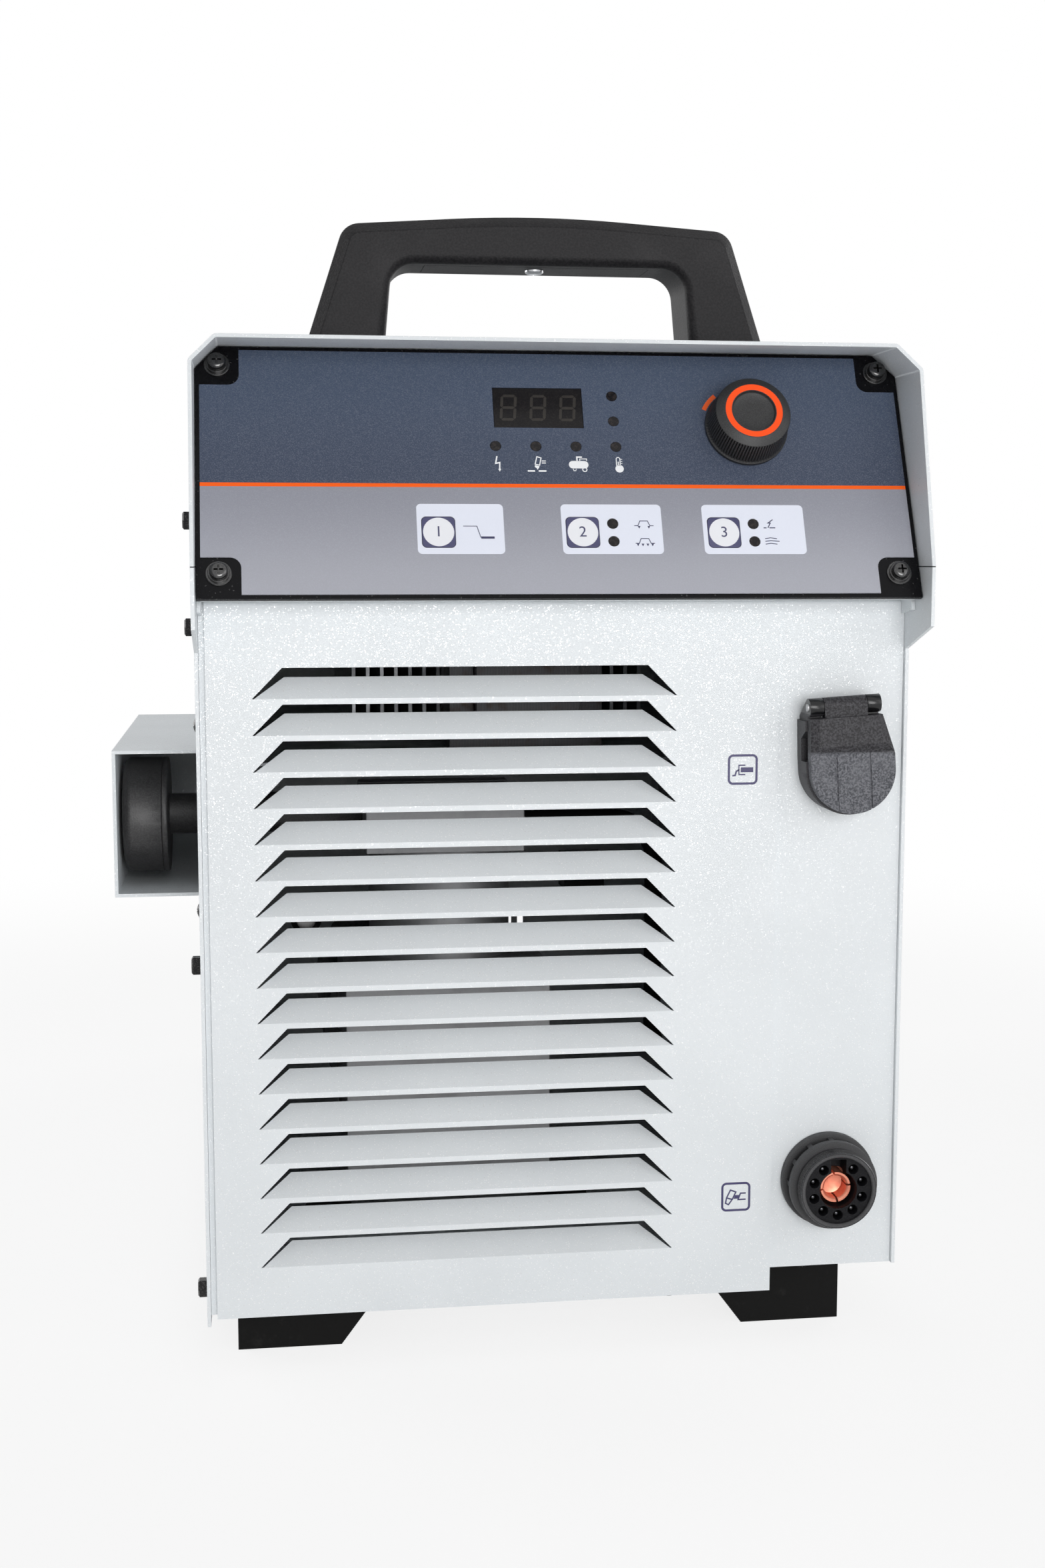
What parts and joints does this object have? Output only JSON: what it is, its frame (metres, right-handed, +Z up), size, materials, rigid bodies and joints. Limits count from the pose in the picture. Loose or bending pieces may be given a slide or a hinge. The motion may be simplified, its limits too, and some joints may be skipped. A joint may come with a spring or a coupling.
{
  "type": "plasma cutting power source",
  "caption": "Portable air plasma cutting power source with a built-in compressor: louvred sheet-metal case, tilted control panel, carrying handle, torch and work sockets.",
  "frame": {"origin": "on the floor, below the middle of the whole part", "axes": "+X to the right as seen from the front, +Y to the back, +Z up"},
  "size_m": [0.332, 0.556, 0.4709],
  "materials": {
    "case_paint": "light-grey powder coat, fine texture",
    "front_paint": "light-grey powder coat, fine texture",
    "panel_black": "black powder coat, satin",
    "overlay_print": "slate-blue printed film, satin",
    "window_dark": "dark tinted window, gloss",
    "lamp_dark": "tinted lamp lens, unlit",
    "key_navy": "navy key cap with a white ring and figure",
    "knob_black": "black moulded plastic",
    "ring_orange": "orange satin ring",
    "handle_black": "black moulded plastic, fine grain",
    "foot_black": "black moulded foot",
    "socket_black": "black moulded plastic",
    "socket_grey": "dark moulded plastic, textured",
    "copper": "bare copper contact",
    "screw_black": "black zinc",
    "screw_steel": "bright zinc",
    "filter_black": "black moulded plastic",
    "guard_paint": "light-grey powder coat",
    "fan_black": "black moulded plastic",
    "wire_steel": "plated wire",
    "switch_black": "black moulded plastic",
    "board_green": "glass-fibre board with green lacquer",
    "zinc_sheet": "bare zinc-plated sheet",
    "sink_aluminium": "extruded, bare",
    "capacitor_sleeve": "sleeved can",
    "core_iron": "pressed core with wound coil",
    "cast_alloy": "cast alloy, bare",
    "motor_paint": "dark painted motor shell",
    "turned_steel": "turned steel",
    "mount_rubber": "moulded rubber",
    "valve_brass": "brass body",
    "hose_black": "rubber hose",
    "spring_steel": "spring wire"
  },
  "bodies": {
    "case": {"base_pan": "case_paint", "front_panel": "front_paint", "panel_frame": "front_paint", "louvre_panel": "front_paint", "upper_cover": "case_paint", "side_panel_left": "case_paint", "side_panel_right": "case_paint", "rear_panel": "case_paint", "side_screws": "screw_black", "bottom_screws": "screw_black", "control_plate": "panel_black", "control_overlay": "overlay_print", "control_screws": "screw_black", "display_module": "window_dark", "indicator_leds": "lamp_dark", "control_board": "board_green", "encoder": "turned_steel", "handle_shell": "handle_black", "handle_insert": "handle_black", "handle_screws": "screw_steel", "feet": "foot_black", "foot_screws": "screw_steel", "filter_guard": "guard_paint", "guard_screws": "screw_black", "filter_body": "filter_black", "filter_cover": "filter_black", "torch_socket_body": "socket_black", "torch_socket_insert": "socket_grey", "torch_socket_contact": "copper", "torch_socket_nut": "socket_black", "work_socket_body": "socket_grey", "work_socket_contact": "copper", "lid_hinge_pin": "turned_steel", "lid_spring": "spring_steel", "fan_frame": "fan_black", "fan_guard": "wire_steel", "fan_screws": "screw_steel", "power_switch_body": "switch_black", "cable_gland": "socket_grey", "shelf_bridge": "zinc_sheet", "heat_sinks": "sink_aluminium", "power_board": "board_green", "capacitors": "capacitor_sleeve", "transformer": "core_iron", "compressor_mounts": "mount_rubber", "compressor_crankcase": "cast_alloy", "compressor_piston": "cast_alloy", "compressor_motor": "motor_paint", "solenoid_valve": "valve_brass", "air_hose": "hose_black"},
    "knob": {"knob": "knob_black", "knob_ring": "ring_orange", "encoder_shaft": "turned_steel"},
    "key_f1": {"button_f1": "key_navy"},
    "key_f2": {"button_f2": "key_navy"},
    "key_f3": {"button_f3": "key_navy"},
    "lid": {"work_socket_lid": "socket_black"},
    "fan": {"fan_rotor": "fan_black"},
    "compressor_rotor": {"compressor_shaft": "turned_steel"},
    "rocker": {"power_switch_rocker": "switch_black"}
  },
  "joints": [
    {"name": "knob_turn", "type": "hinge", "parent": "case", "child": "knob", "pos_m": [0.0943, -0.23822, 0.38039], "axis": [0, -0.9121, 0.4099], "continuous": true},
    {"name": "key_f1_press", "type": "slide", "parent": "case", "child": "key_f1", "axis": [0, 0.9121, -0.4099], "range_m": [0, 0.0005], "stiffness_N_per_m": 1000, "springref_m": -0.0005},
    {"name": "key_f2_press", "type": "slide", "parent": "case", "child": "key_f2", "axis": [0, 0.9121, -0.4099], "range_m": [0, 0.0005], "stiffness_N_per_m": 1000, "springref_m": -0.0005},
    {"name": "key_f3_press", "type": "slide", "parent": "case", "child": "key_f3", "axis": [0, 0.9121, -0.4099], "range_m": [0, 0.0005], "stiffness_N_per_m": 1000, "springref_m": -0.0005},
    {"name": "lid_hinge", "type": "hinge", "parent": "case", "child": "lid", "pos_m": [0.13119, -0.2598, 0.26922], "axis": [-0.9979, 0, -0.0645], "range_deg": [0, 110], "stiffness_Nm_per_rad": 0.01, "springref_deg": -57.3},
    {"name": "fan_spin", "type": "hinge", "parent": "case", "child": "fan", "pos_m": [0.017, 0.2555, 0.347], "axis": [0, 1, 0], "continuous": true},
    {"name": "compressor_spin", "type": "hinge", "parent": "case", "child": "compressor_rotor", "pos_m": [-0.023, -0.145, 0.1015], "axis": [0, 1, 0], "continuous": true},
    {"name": "rocker_switch", "type": "hinge", "parent": "case", "child": "rocker", "pos_m": [0.109, 0.257, 0.12], "axis": [1, 0, 0], "range_deg": [0, 20]}
  ]
}
